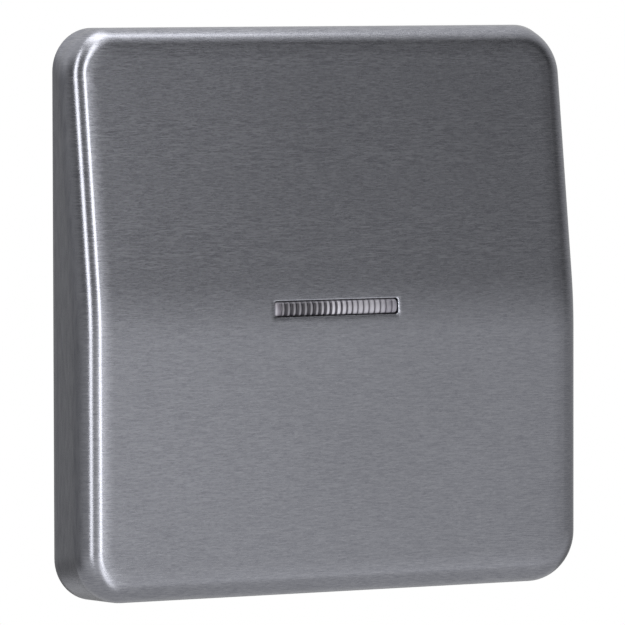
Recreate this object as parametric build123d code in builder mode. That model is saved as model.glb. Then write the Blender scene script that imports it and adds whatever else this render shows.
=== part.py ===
from build123d import *
import math
import os

# Flush-mounted pushbutton switch with a full-surface steel button and a ribbed indicator lens.
# Millimetres. +Z is up, +X is to the right of someone who faces the button, and -Y points at them.
# The wall is the plane y = 0, and the origin is the middle of the support ring's back face.
# A "front" is a distance in front of the wall, and a "depth" is a distance behind it.

# Button: the drawn steel cap
cap_width = 70.0
cap_height = 70.0
cap_depth = 8.1            # lower half of the face to the rear rim
cap_lean = 7.8             # degrees that the upper half leans back
bend_height = 0.4          # the soft bend runs just above the middle
bend_radius = 50.0
cap_corner_radius = 5.8
cap_edge_radius = 2.8
sheet = 0.7
press_angle = 5.0          # degrees that the button tilts when it is pressed
rim_to_wall = 0.45         # left between the rim and the wall at full press

# Indicator lens
lens_width = 17.2
lens_height = 1.9
lens_corner = 0.35
lens_slot_gap = 0.05
lens_recess = 0.2
lens_rib_pitch = 0.79
lens_ribs = 21
lens_rib_radius = 0.45
lens_flange_border = 1.1
lens_flange = 1.0
lens_drop = 1.05           # face to the front of the flange, which clears the bent sheet
guide_width = 12.0
guide_height = 2.6
guide_end_width = 6.0
guide_length = 2.6

# Carrier moulded to fit inside the cap
bond_gap = 0.05
carrier_floor = 1.6
carrier_wall = 1.2
carrier_rim_setback = 1.2
carrier_rib = 1.4
carrier_rib_x = 14.0
carrier_rib_z = 12.0
seat_border = 1.3
seat_depth = 1.4
lens_pocket_gap = 0.1
clip_leg = 1.4
clip_leg_width = 4.0
clip_barb = 1.1
clip_barb_height = 0.9
clip_lead = 0.35
clip_gap = 0.05

# Rocker that the button clips on
rocker_width = 36.0
rocker_height = 34.0
rocker_plate = 2.0
rocker_back = 4.5
rocker_corner = 2.0
lamp_window_width = 16.0
lamp_window_height = 9.2
cheek = 2.0
cheek_radius = 1.9
pivot_front = 3.2
pivot_pin_radius = 1.19
pivot_pin_overrun = 0.4
rocker_window_gap = 0.8
relief_gap = 1.0
clip_slot_gap = 0.1
clip_slot_reach = 0.6
rest_foot_z = 15.0
stop_foot_z = 16.0
stop_foot_x = 9.0
foot_thickness = 1.6
foot_width = 6.0
foot_gap = 0.05
toe_radius = 1.0
toe_width = 4.0
rocker_rim = 0.8
rocker_rim_wall = 1.2
rim_relief_gap = 0.5

# Cover with the pivot ears, spring well and plunger guide
cover_width = 39.0
cover_flange = 1.6
cover_corner = 2.0
platform_width = 30.0
platform_height = 35.0
ear_x = 12.0
ear_thickness = 2.0
ear_radius = 2.2
ear_gap = 0.3
pivot_clearance = 0.06
well_z = -8.0
well_radius = 2.9
well_wall = 1.0
well_depth = 2.0
well_floor = 1.0
guide_wall = 1.2
guide_depth = 3.0
lamp_opening_gap = 0.2

# Support ring
ring_border = 2.7          # middle of a wall-screw hole to the ring's edge
ring_thickness = 1.0
ring_corner = 3.0
ring_opening_gap = 0.3
wall_screw_spacing = 60.0
wall_screw_radius = 1.75
arc_slot_angle = 16.0
arc_slot_middles = (90.0, 270.0)
panel_hole_offset = 25.0
panel_hole_radius = 1.6
ring_edge_chamfer = 0.2

# Screws that hold ring, cover and housing together
screw_x = 17.0
screw_z = 16.8
screw_shank_radius = 1.2
screw_hole_clearance = 0.1
screw_head_radius = 2.1
screw_head_height = 1.2
screw_length = 8.0
screw_recess_width = 0.5
screw_recess_depth = 0.7

# Housing
housing_depth = 21.5
housing_wall = 1.3
housing_floor = 1.3
housing_edge = 1.0
chamber_half = 6.5
partition = 1.0
chamber_gap = 0.3
terminal_half_height = 13.5
rail_pocket_width = 2.7
wire_x = 11.4
wire_z = 8.0
wire_hole_radius = 1.7
wire_funnel_radius = 2.5
spring_post_radius = 1.3
spring_post_length = 2.2

# Plunger and contact bridge
plunger_z = -14.0
plunger_radius = 2.0
plunger_clearance = 0.06
plunger_head_edge = 0.4
plunger_gap = 0.1
collar_radius = 2.7
collar_length = 1.0
stem_radius = 1.3
stem_clearance = 0.15
keeper_radius = 1.9
keeper_length = 0.65
bridge_depth = 8.6
bridge_length = 12.4
bridge_width = 4.4
bridge_thickness = 0.75
bridge_corner = 0.8
stem_tail = 4.5
tip_x = 4.9
tip_radius = 1.5
tip_height = 0.65
tip_edge = 0.2
contact_closed_gap = 0.08

# Springs
return_wire = 0.5
return_radius = 2.2
return_turns = 4.5
contact_wire = 0.35
contact_radius = 1.75
contact_turns = 4
plunger_wire = 0.4
plunger_spring_radius = 1.75
plunger_turns = 6
spring_seat_gap = 0.02
coil_runs = 12             # short straight runs that make up one turn
wire_sides = 6
rocker_spring_pin_radius = 1.5
rocker_spring_pin_length = 1.3

# Terminals
rail = 1.0
rail_x = 8.2
rail_front = 6.0
rail_back = 19.6
rail_top = 12.0
rail_step = -4.0
arm_width = 4.4
arm_reach = 3.6
arm_seat_gap = 0.02
arm_slot_gap = 0.2
clamp_sheet = 0.5
clamp_width = 6.0
clamp_anchor_x = 17.7
clamp_anchor_depth = 19.0
clamp_back_depth = 8.2
clamp_knee_x = 12.9
clamp_tip_x = 9.6
clamp_tip_depth = 13.5
clamp_bend = 1.6
clamp_z = 7.4

# Release levers
release_x = 15.2
release_width = 3.6
release_height = 5.6
release_gap = 0.2
release_proud = 0.8
release_bar_front = 18.0
release_bar_gap = 0.08
release_bar_inner = 10.4
release_bar_outer = 17.0
release_leg_width = 2.2
release_leg_tip = 12.7
release_leg_z = 4.5
release_slot_width = 0.8
release_slot_depth = 0.6

# Indicator lamp
holder_side = 8.0
holder_front = 4.0
holder_depth = 6.0
holder_shoulder = 0.6
holder_shoulder_reach = 1.4
lamp_radius = 1.5
lamp_base_radius = 1.8
lamp_base_height = 0.6
lamp_body_height = 0.7
lead_sheet = 0.4
lead_width = 1.6
lead_x = 2.5
lead_depth = 8.2
lead_bend = 0.8

# Worked out from the sizes above
lean = math.radians(cap_lean)
rim_front = cap_height / 2 * math.sin(math.radians(press_angle)) + rim_to_wall
face_front = rim_front + cap_depth
lever_arm = -plunger_z
plunger_travel = lever_arm * math.radians(press_angle)
rocker_front = rocker_back + rocker_plate
platform_front = ring_thickness
plunger_top = rocker_back - toe_radius / 2 - plunger_gap
bridge_back = bridge_depth + bridge_thickness
fixed_tip_depth = bridge_back + tip_height + plunger_travel + contact_closed_gap
arm_depth = fixed_tip_depth + tip_height
ring_width = wall_screw_spacing + 2 * ring_border
housing_inside = housing_depth - housing_floor
terminal_outer = cover_width / 2 - housing_wall
terminal_inner = chamber_half + partition
overshoot = 1.0
SIDES = {"left": -1, "right": 1}

os.makedirs("parts", exist_ok=True)


def save(piece, name):
    """Label a finished piece and write it under its own name."""
    piece.part.label = name
    export_step(piece.part, f"parts/{name}.step")


def front_plane(front):
    """Plane across the object at a distance in front of the wall; it extrudes away from the wall."""
    return Plane.XZ.offset(front)


def depth_plane(depth):
    """Plane across the object at a depth behind the wall; it extrudes further in."""
    return Plane(origin=(0, depth, 0), x_dir=(-1, 0, 0), z_dir=(0, 1, 0))


def skin_front(z, inset):
    """Distance in front of the wall, at height z, of the face moved inwards by inset."""
    lower = face_front - inset
    upper = face_front - inset / math.cos(lean) - (z - bend_height) * math.tan(lean)
    return min(lower, upper)


def side_profile(low, high, inset, back):
    """Corners (y, z) of the button's side view between two heights, from the skin to a back plane."""
    bend = bend_height - inset * math.tan(lean / 2)
    corners = [(-back, low), (-skin_front(low, inset), low)]
    if low < bend < high:
        corners.append((-skin_front(bend, inset), bend))
    return corners + [(-skin_front(high, inset), high), (-back, high)]


def button_form(inset, back):
    """The button's outer form, moved inwards by inset and cut off flat at the back plane."""
    half_height = cap_height / 2 - inset
    with BuildPart() as form:
        with BuildSketch(Plane.YZ) as side:
            with BuildLine():
                Polyline(side_profile(-half_height, half_height, inset, back), close=True)
            make_face()
            knee = side.vertices().sort_by_distance((0, -face_front, bend_height))[0]
            fillet(knee, bend_radius - inset)
        extrude(amount=cap_width / 2 - inset, both=True)
        fillet(form.edges().filter_by(Axis.Y), cap_corner_radius - inset)
        face_edges = form.faces().filter_by(lambda f: f.normal_at().Y < -0.5).edges()
        rim = face_edges.filter_by(
            lambda e: abs(e.center().Z) > cap_height / 4 or abs(e.center().X) > cap_width / 4
        )
        fillet(rim, cap_edge_radius - inset)
    return form.part


def cut_round(radius, start, end, *centres):
    """Cut round holes along Y, between two depths, out of the part being built."""
    with BuildSketch(depth_plane(start)) as circles:
        with Locations(*centres):
            Circle(radius)
    extrude(circles.sketch, amount=end - start, mode=Mode.SUBTRACT)


def brick(low, high, mode=Mode.ADD):
    """Add a block between two opposite corners to the part being built, or cut it out."""
    size = [abs(b - a) for a, b in zip(low, high)]
    middle = tuple((a + b) / 2 for a, b in zip(low, high))
    with Locations(middle):
        Box(*size, mode=mode)


def coil(start, end, z, radius, wire, turns):
    """A compression spring along Y between two depths, wound about the height z."""
    first = start + wire / 2 + spring_seat_gap
    runs = round(turns * coil_runs)
    rise = (end - start - wire - 2 * spring_seat_gap) / runs
    step = 2 * math.pi / coil_runs
    corners = [
        (radius * math.cos(i * step), first + i * rise, z + radius * math.sin(i * step))
        for i in range(runs + 1)
    ]
    with BuildPart() as spring:
        with BuildLine():
            path = Polyline(corners)
        with BuildSketch(Plane(origin=path @ 0, z_dir=path % 0)):
            RegularPolygon(wire / 2, wire_sides)
        sweep(transition=Transition.RIGHT)
    return spring


# Steel cap: one drawn sheet with a slot for the lens
cap_outside = button_form(0, rim_front)
cap_inside = button_form(sheet, rim_front - overshoot)
with BuildPart() as steel_cap:
    add(cap_outside)
    add(cap_inside, mode=Mode.SUBTRACT)
    with BuildSketch(front_plane(face_front - 2 * sheet)):
        with Locations((0, bend_height)):
            RectangleRounded(
                lens_width + 2 * lens_slot_gap, lens_height + 2 * lens_slot_gap, lens_corner
            )
    extrude(amount=2 * sheet, mode=Mode.SUBTRACT)
save(steel_cap, "steel_cap")

# Lens: ribbed bar in the slot, a flange behind the sheet and a light guide that tapers to the lamp
lens_front = face_front - lens_recess
flange_front = face_front - lens_drop
flange_width = lens_width + 2 * lens_flange_border
flange_height = lens_height + 2 * lens_flange_border
rib_crest = lens_front - lens_rib_radius
with BuildPart() as indicator_lens:
    with BuildSketch(front_plane(flange_front)):
        with Locations((0, bend_height)):
            RectangleRounded(lens_width, lens_height, lens_corner)
    extrude(amount=rib_crest - flange_front)
    with BuildSketch(Plane.XY.offset(bend_height)):
        with Locations((0, -rib_crest)):
            with GridLocations(lens_rib_pitch, 0, lens_ribs, 1):
                Circle(lens_rib_radius)
        with Locations((0, -rib_crest + lens_rib_radius)):
            Rectangle(cap_width, 2 * lens_rib_radius, mode=Mode.SUBTRACT)
    extrude(amount=lens_height / 2 - lens_corner / 2, both=True)
    with BuildSketch(front_plane(flange_front - lens_flange)):
        with Locations((0, bend_height)):
            RectangleRounded(flange_width, flange_height, lens_flange_border)
    extrude(amount=lens_flange)
    with BuildSketch(front_plane(flange_front - lens_flange)):
        with Locations((0, bend_height)):
            Rectangle(guide_width, guide_height)
    with BuildSketch(front_plane(flange_front - lens_flange - guide_length)):
        with Locations((0, bend_height)):
            Rectangle(guide_end_width, guide_height)
    loft()
save(indicator_lens, "indicator_lens")

# Carrier: form of the cap's inside, hollowed bay by bay so that ribs stay between the bays
carrier_skin = sheet + bond_gap
carrier_rim = rim_front + carrier_rim_setback
carrier_form = button_form(carrier_skin, carrier_rim)
carrier_inset = carrier_skin + carrier_wall
bay_half_width = cap_width / 2 - carrier_inset
bay_half_height = cap_height / 2 - carrier_inset
with BuildPart() as carrier_bays:
    with BuildSketch(Plane.YZ):
        with BuildLine():
            Polyline(
                side_profile(
                    -bay_half_height, bay_half_height, carrier_skin + carrier_floor,
                    carrier_rim - overshoot,
                ),
                close=True,
            )
        make_face()
    extrude(amount=bay_half_width, both=True)
    fillet(carrier_bays.edges().filter_by(Axis.Y), cap_corner_radius - carrier_inset)
    for side in SIDES.values():
        near = side * (carrier_rib_x - carrier_rib / 2)
        far = side * (carrier_rib_x + carrier_rib / 2)
        brick((near, -face_front, -cap_height / 2), (far, 0, cap_height / 2), Mode.SUBTRACT)
        near = side * (carrier_rib_z - carrier_rib / 2)
        far = side * (carrier_rib_z + carrier_rib / 2)
        brick((-cap_width / 2, -face_front, near), (cap_width / 2, 0, far), Mode.SUBTRACT)
seat_front = flange_front - lens_flange - seat_depth
with BuildPart() as cap_carrier:
    add(carrier_form)
    add(carrier_bays.part, mode=Mode.SUBTRACT)
    relief_width = rocker_width + 2 * relief_gap
    relief_height = rocker_height + 2 * relief_gap
    with BuildSketch(front_plane(carrier_rim - overshoot)):
        Rectangle(relief_width, relief_height)
    extrude(amount=rocker_front - carrier_rim + overshoot, mode=Mode.SUBTRACT)
    with BuildSketch(front_plane(seat_front)):
        with Locations((0, bend_height)):
            RectangleRounded(
                flange_width + 2 * seat_border, flange_height + 2 * seat_border, lens_flange_border
            )
    extrude(amount=flange_front - lens_flange - seat_front)
    with BuildSketch(front_plane(flange_front - lens_flange)):
        with Locations((0, bend_height)):
            RectangleRounded(
                flange_width + 2 * lens_pocket_gap, flange_height + 2 * lens_pocket_gap,
                lens_flange_border,
            )
    extrude(amount=lens_drop + lens_flange, mode=Mode.SUBTRACT)
    with BuildSketch(front_plane(seat_front - overshoot)):
        with Locations((0, bend_height)):
            Rectangle(guide_width + 2 * lens_pocket_gap, guide_height + 2 * lens_pocket_gap)
    extrude(amount=face_front - seat_front, mode=Mode.SUBTRACT)
    leg_end = rocker_back - clip_gap - clip_barb_height
    with BuildSketch(front_plane(leg_end - clip_lead)):
        with GridLocations(2 * carrier_rib_x, 2 * carrier_rib_z, 2, 2):
            Rectangle(clip_leg, clip_leg_width)
    extrude(amount=rocker_front - leg_end + clip_lead + overshoot / 2)
    for side in SIDES.values():
        inner = side * (carrier_rib_x + clip_leg / 2)
        outer = side * (carrier_rib_x + clip_leg / 2 + clip_barb)
        barb_back = rocker_back - clip_gap
        for height in (-carrier_rib_z, carrier_rib_z):
            with BuildSketch(Plane.XY.offset(height)):
                with BuildLine():
                    Polyline(
                        (inner, -barb_back),
                        (outer, -barb_back),
                        (outer, -leg_end - clip_lead),
                        (inner, -leg_end + clip_lead),
                        close=True,
                    )
                make_face()
            extrude(amount=clip_leg_width / 2, both=True)
save(cap_carrier, "cap_carrier")

# Rocker: plate with a lamp window, ear windows, clip slots, cheeks with pivot pins, toe and feet
cheek_outer = ear_x - ear_gap
pin_end = ear_x + ear_thickness + pivot_pin_overrun
slot_inner = carrier_rib_x - clip_leg / 2 - clip_slot_gap
slot_outer = carrier_rib_x + clip_leg / 2 + clip_slot_reach
with BuildPart() as rocker:
    with BuildSketch(front_plane(rocker_back)):
        RectangleRounded(rocker_width, rocker_height, rocker_corner)
        Rectangle(lamp_window_width, lamp_window_height, mode=Mode.SUBTRACT)
        for side in SIDES.values():
            with Locations((side * (cheek_outer + pin_end + ear_gap) / 2, 0)):
                Rectangle(
                    pin_end + ear_gap - cheek_outer,
                    2 * (ear_radius + rocker_window_gap / 2),
                    mode=Mode.SUBTRACT,
                )
            with Locations(
                (side * (slot_inner + slot_outer) / 2, -carrier_rib_z),
                (side * (slot_inner + slot_outer) / 2, carrier_rib_z),
            ):
                Rectangle(
                    slot_outer - slot_inner, clip_leg_width + 2 * clip_slot_gap, mode=Mode.SUBTRACT
                )
    extrude(amount=rocker_plate)
    with BuildSketch(front_plane(rocker_back - rocker_rim)):
        RectangleRounded(rocker_width, rocker_height, rocker_corner)
        RectangleRounded(
            rocker_width - 2 * rocker_rim_wall,
            rocker_height - 2 * rocker_rim_wall,
            rocker_corner - rocker_rim_wall,
            mode=Mode.SUBTRACT,
        )
    extrude(amount=rocker_rim)
    cut_round(plunger_radius + rim_relief_gap, -rocker_back, -pivot_front, (0, plunger_z))
    for side in SIDES.values():
        cheek_start = min(side * cheek_outer, side * (cheek_outer - cheek))
        with BuildSketch(Plane.YZ.offset(cheek_start)):
            with Locations((-pivot_front, 0)):
                Circle(cheek_radius)
            with Locations((-(pivot_front + rocker_back) / 2 - overshoot / 2, 0)):
                Rectangle(rocker_back - pivot_front + overshoot, 2 * cheek_radius)
        extrude(amount=cheek)
        with BuildSketch(Plane.YZ.offset(side * (cheek_outer - cheek / 2))):
            with Locations((-pivot_front, 0)):
                Circle(pivot_pin_radius)
        extrude(amount=side * (pin_end - cheek_outer + cheek / 2))
    with BuildSketch(Plane.YZ):
        with Locations((-rocker_back - toe_radius / 2, plunger_z)):
            Circle(toe_radius)
    extrude(amount=toe_width / 2, both=True)
    with BuildSketch(front_plane(platform_front + foot_gap)):
        with Locations((0, rest_foot_z)):
            Rectangle(foot_width, foot_thickness)
    extrude(amount=rocker_back - platform_front - foot_gap)
    stop_front = platform_front + foot_gap + (stop_foot_z + foot_thickness / 2) * math.sin(
        math.radians(press_angle)
    )
    with BuildSketch(front_plane(stop_front)):
        with Locations((-stop_foot_x, -stop_foot_z), (stop_foot_x, -stop_foot_z)):
            Rectangle(foot_width, foot_thickness)
    extrude(amount=rocker_back - stop_front)
    with BuildSketch(front_plane(rocker_back - rocker_spring_pin_length)):
        with Locations((0, well_z)):
            Circle(rocker_spring_pin_radius)
    extrude(amount=rocker_spring_pin_length)
save(rocker, "rocker")

# Support ring: punched steel plate with wall-screw holes, levelling slots and panel holes
with BuildPart() as support_ring:
    with BuildSketch(front_plane(0)):
        RectangleRounded(ring_width, ring_width, ring_corner)
        Rectangle(
            platform_width + 2 * ring_opening_gap,
            platform_height + 2 * ring_opening_gap,
            mode=Mode.SUBTRACT,
        )
        with GridLocations(wall_screw_spacing, 0, 2, 1):
            Circle(wall_screw_radius, mode=Mode.SUBTRACT)
        with GridLocations(2 * panel_hole_offset, 2 * panel_hole_offset, 2, 2):
            Circle(panel_hole_radius, mode=Mode.SUBTRACT)
        with GridLocations(2 * screw_x, 2 * screw_z, 2, 2):
            Circle(screw_shank_radius + screw_hole_clearance, mode=Mode.SUBTRACT)
        for middle in arc_slot_middles:
            with BuildLine(mode=Mode.PRIVATE) as slot_path:
                CenterArc(
                    (0, 0), wall_screw_spacing / 2, middle - arc_slot_angle / 2, arc_slot_angle
                )
            SlotArc(slot_path.edges()[0], 2 * wall_screw_radius, mode=Mode.SUBTRACT)
    extrude(amount=ring_thickness)
    chamfer(
        support_ring.faces().sort_by(Axis.Y)[0].outer_wire().edges(), ring_edge_chamfer
    )
save(support_ring, "support_ring")

# Cover: flange behind the ring, platform in its opening, ears, spring well and plunger guide
with BuildPart() as insert_cover:
    with BuildSketch(depth_plane(0)):
        RectangleRounded(cover_width, cover_width, cover_corner)
    extrude(amount=cover_flange)
    with BuildSketch(front_plane(0)):
        Rectangle(platform_width, platform_height)
    extrude(amount=platform_front)
    for side in SIDES.values():
        ear_start = min(side * ear_x, side * (ear_x + ear_thickness))
        with BuildSketch(Plane.YZ.offset(ear_start)):
            with Locations((-pivot_front, 0)):
                Circle(ear_radius)
            with Locations((-pivot_front / 2, 0)):
                Rectangle(pivot_front, 2 * ear_radius)
        extrude(amount=ear_thickness)
        with BuildSketch(Plane.YZ.offset(ear_start)):
            with Locations((-pivot_front, 0)):
                Circle(pivot_pin_radius + pivot_clearance)
        extrude(amount=ear_thickness, mode=Mode.SUBTRACT)
    with BuildSketch(depth_plane(cover_flange)):
        with Locations((0, well_z)):
            Circle(well_radius + well_wall)
    extrude(amount=well_depth + well_floor - cover_flange)
    with BuildSketch(depth_plane(cover_flange)):
        with Locations((0, plunger_z)):
            Circle(plunger_radius + guide_wall)
    extrude(amount=guide_depth - cover_flange)
    cut_round(well_radius, -platform_front, well_depth, (0, well_z))
    cut_round(plunger_radius + plunger_clearance, -platform_front, guide_depth, (0, plunger_z))
    with BuildSketch(front_plane(-well_depth - well_floor)):
        Rectangle(holder_side + 2 * lamp_opening_gap, holder_side + 2 * lamp_opening_gap)
    extrude(amount=platform_front + well_depth + well_floor, mode=Mode.SUBTRACT)
    with BuildSketch(depth_plane(0)):
        with GridLocations(2 * screw_x, 2 * screw_z, 2, 2):
            Circle(screw_shank_radius + screw_hole_clearance)
    extrude(amount=cover_flange, mode=Mode.SUBTRACT)
save(insert_cover, "insert_cover")

# Housing: box with a contact chamber in the middle and a terminal chamber on each side
back_plane = depth_plane(housing_depth)
arm_half = arm_width / 2
with BuildPart() as insert_housing:
    with BuildSketch(depth_plane(cover_flange)):
        RectangleRounded(cover_width, cover_width, cover_corner)
    extrude(amount=housing_depth - cover_flange)
    chamfer(insert_housing.faces().sort_by(Axis.Y)[-1].edges(), housing_edge)
    chamber_low = plunger_z - plunger_radius - guide_wall - chamber_gap
    brick(
        (-chamber_half, cover_flange, chamber_low),
        (chamber_half, housing_inside, terminal_half_height),
        Mode.SUBTRACT,
    )
    for side in SIDES.values():
        inner = side * terminal_inner
        brick(
            (inner, cover_flange, -terminal_half_height),
            (side * terminal_outer, housing_inside, terminal_half_height),
            Mode.SUBTRACT,
        )
        brick(
            (inner, cover_flange, chamber_low),
            (inner + side * rail_pocket_width, housing_inside, -terminal_half_height),
            Mode.SUBTRACT,
        )
        brick(
            (side * chamber_half, cover_flange, plunger_z - arm_half - arm_slot_gap),
            (inner, arm_depth + rail + arm_seat_gap, plunger_z + arm_half + arm_slot_gap),
            Mode.SUBTRACT,
        )
        brick(
            (side * chamber_half, cover_flange, -lead_width),
            (inner, lead_depth + lead_sheet, lead_width),
            Mode.SUBTRACT,
        )
        reach = release_width / 2 + release_gap
        brick(
            (side * (release_x - reach), housing_inside, -release_height / 2 - release_gap),
            (side * (release_x + reach), housing_depth, release_height / 2 + release_gap),
            Mode.SUBTRACT,
        )
    with Locations(back_plane):
        with GridLocations(2 * wire_x, 2 * wire_z, 2, 2):
            CounterSinkHole(wire_hole_radius, wire_funnel_radius, depth=2 * housing_floor)
    corners = [(x, z) for x in (-screw_x, screw_x) for z in (-screw_z, screw_z)]
    cut_round(screw_shank_radius, cover_flange, cover_flange + screw_length, *corners)
    with BuildSketch(depth_plane(housing_inside - spring_post_length)):
        with Locations((0, plunger_z)):
            Circle(spring_post_radius)
    extrude(amount=spring_post_length)
save(insert_housing, "insert_housing")

# Housing screws: pan heads with a cross recess, as separate solids in one node
with BuildPart() as housing_screws:
    with BuildSketch(front_plane(platform_front)):
        with GridLocations(2 * screw_x, 2 * screw_z, 2, 2):
            Circle(screw_head_radius)
    extrude(amount=screw_head_height)
    heads = housing_screws.faces().group_by(Axis.Y)[0]
    chamfer(heads.edges(), screw_head_height / 2)
    with BuildSketch(front_plane(platform_front + screw_head_height - screw_recess_depth)):
        with GridLocations(2 * screw_x, 2 * screw_z, 2, 2):
            Rectangle(2 * screw_shank_radius, screw_recess_width)
            Rectangle(screw_recess_width, 2 * screw_shank_radius)
    extrude(amount=screw_recess_depth, mode=Mode.SUBTRACT)
    with BuildSketch(front_plane(platform_front)):
        with GridLocations(2 * screw_x, 2 * screw_z, 2, 2):
            Circle(screw_shank_radius)
    extrude(amount=-(platform_front + cover_flange + screw_length - screw_recess_depth))
save(housing_screws, "housing_screws")

# Plunger: turned profile with a head, a collar, a stem and a keeper behind the bridge
stem_end = bridge_back + keeper_length + stem_tail
with BuildPart() as plunger:
    with BuildSketch(Plane.YZ) as half_plunger:
        with BuildLine():
            Polyline(
                (-plunger_top, plunger_z),
                (-plunger_top, plunger_z + plunger_radius - plunger_head_edge),
                (-plunger_top + plunger_head_edge, plunger_z + plunger_radius),
                (guide_depth + plunger_gap, plunger_z + plunger_radius),
                (guide_depth + plunger_gap, plunger_z + collar_radius),
                (guide_depth + plunger_gap + collar_length, plunger_z + collar_radius),
                (guide_depth + plunger_gap + collar_length, plunger_z + stem_radius),
                (bridge_back, plunger_z + stem_radius),
                (bridge_back, plunger_z + keeper_radius),
                (bridge_back + keeper_length, plunger_z + stem_radius + tip_edge),
                (bridge_back + keeper_length, plunger_z + stem_radius),
                (stem_end, plunger_z + stem_radius),
                (stem_end, plunger_z),
                close=True,
            )
        make_face()
    revolve(axis=Axis((0, 0, plunger_z), (0, 1, 0)))
save(plunger, "plunger")

# Contact bridge: stamped strip with a hole for the stem
with BuildPart() as contact_bridge:
    with BuildSketch(depth_plane(bridge_depth)):
        with Locations((0, plunger_z)):
            RectangleRounded(bridge_length, bridge_width, bridge_corner)
            Circle(stem_radius + stem_clearance, mode=Mode.SUBTRACT)
    extrude(amount=bridge_thickness)
save(contact_bridge, "contact_bridge")


def contact_tips(depth, meeting_side):
    """Two contact buttons that start at a depth, with the meeting edge broken."""
    with BuildPart() as tips:
        with BuildSketch(depth_plane(depth)):
            with Locations((-tip_x, plunger_z), (tip_x, plunger_z)):
                Circle(tip_radius)
        extrude(amount=tip_height)
        meeting = tips.faces().filter_by(Axis.Y).group_by(Axis.Y)[meeting_side]
        chamfer(meeting.edges(), tip_edge)
    return tips


bridge_contact_tips = contact_tips(bridge_back, -1)
save(bridge_contact_tips, "bridge_contact_tips")
fixed_contact_tips = contact_tips(fixed_tip_depth, 0)
save(fixed_contact_tips, "fixed_contact_tips")

# Springs
return_spring = coil(-rocker_back, well_depth, well_z, return_radius, return_wire, return_turns)
save(return_spring, "return_spring")
collar_end = guide_depth + plunger_gap + collar_length
contact_spring = coil(
    collar_end, bridge_depth, plunger_z, contact_radius, contact_wire, contact_turns
)
save(contact_spring, "contact_spring")
plunger_spring = coil(
    bridge_back + keeper_length,
    housing_inside,
    plunger_z,
    plunger_spring_radius,
    plunger_wire,
    plunger_turns,
)
save(plunger_spring, "plunger_spring")


def terminal_rail(side):
    """Current rail: an upright plate beside the partition and an arm into the contact chamber."""
    arm_low = plunger_z - arm_half
    arm_high = plunger_z + arm_half
    inner = side * rail_x
    with BuildPart() as piece:
        with BuildSketch(Plane.YZ.offset(inner)):
            with BuildLine():
                Polyline(
                    (rail_front, rail_step),
                    (rail_front, rail_top),
                    (rail_back, rail_top),
                    (rail_back, arm_low),
                    (arm_depth, arm_low),
                    (arm_depth, arm_high),
                    (arm_depth + rail, rail_step),
                    close=True,
                )
            make_face()
        extrude(amount=side * rail)
        brick(
            (side * arm_reach, arm_depth, arm_low),
            (side * (rail_x + rail), arm_depth + rail, arm_high),
        )
    return piece


def clamp_springs(side):
    """Two bent leaf springs, one for each wire: anchor leg, bend, and a free leg towards the rail."""
    with BuildPart() as piece:
        for middle in (-clamp_z, clamp_z):
            with BuildSketch(Plane.XY.offset(middle)):
                with BuildLine() as leaf:
                    FilletPolyline(
                        (side * clamp_anchor_x, clamp_anchor_depth),
                        (side * clamp_anchor_x, clamp_back_depth),
                        (side * clamp_knee_x, clamp_back_depth),
                        (side * clamp_tip_x, clamp_tip_depth),
                        radius=clamp_bend,
                    )
                trace(leaf.edges(), clamp_sheet)
            extrude(amount=clamp_width / 2, both=True)
    return piece


def release_lever(side):
    """Pusher: a slotted button through the floor, a cross bar inside and two legs to the springs."""
    bar_back = housing_inside - release_bar_gap
    tip = housing_depth + release_proud
    inner = side * release_bar_inner
    near = side * (release_x - release_width / 2)
    far = side * (release_x + release_width / 2)
    reach = release_leg_z + release_leg_width / 2
    with BuildPart() as piece:
        brick((inner, release_bar_front, -reach), (side * release_bar_outer, bar_back, reach))
        brick((near, release_bar_front, -release_height / 2), (far, tip, release_height / 2))
        chamfer(piece.faces().sort_by(Axis.Y)[-1].edges(), release_gap)
        brick(
            (near, tip - release_slot_depth, -release_slot_width / 2),
            (far, tip, release_slot_width / 2),
            Mode.SUBTRACT,
        )
        for middle in (-release_leg_z, release_leg_z):
            brick(
                (inner, release_leg_tip, middle - release_leg_width / 2),
                (inner + side * release_leg_width, bar_back, middle + release_leg_width / 2),
            )
    return piece


for name, sign in SIDES.items():
    save(terminal_rail(sign), f"terminal_rail_{name}")
    save(clamp_springs(sign), f"clamp_springs_{name}")
    save(release_lever(sign), f"release_lever_{name}")

# Lamp holder: plugs into the cover from the front and stops on its shoulder
with BuildPart() as lamp_holder:
    with BuildSketch(front_plane(-holder_depth)):
        Rectangle(holder_side, holder_side)
    extrude(amount=holder_depth + holder_front)
    with BuildSketch(front_plane(platform_front)):
        Rectangle(holder_side + 2 * holder_shoulder_reach, holder_side)
    extrude(amount=holder_shoulder)
    fillet(lamp_holder.faces().sort_by(Axis.Y)[0].edges(), holder_shoulder)
save(lamp_holder, "lamp_holder")

# Lamp: flanged body with a domed end
with BuildPart() as indicator_lamp:
    lamp_shoulder = holder_front + lamp_base_height
    lamp_neck = lamp_shoulder + lamp_body_height
    with BuildSketch(Plane.YZ):
        with BuildLine():
            Polyline(
                (-lamp_neck, lamp_radius),
                (-lamp_shoulder, lamp_radius),
                (-lamp_shoulder, lamp_base_radius),
                (-holder_front, lamp_base_radius),
                (-holder_front, 0),
                (-lamp_neck - lamp_radius, 0),
            )
            RadiusArc((-lamp_neck - lamp_radius, 0), (-lamp_neck, lamp_radius), lamp_radius)
        make_face()
    revolve(axis=Axis.Y)
save(indicator_lamp, "indicator_lamp")

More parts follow.
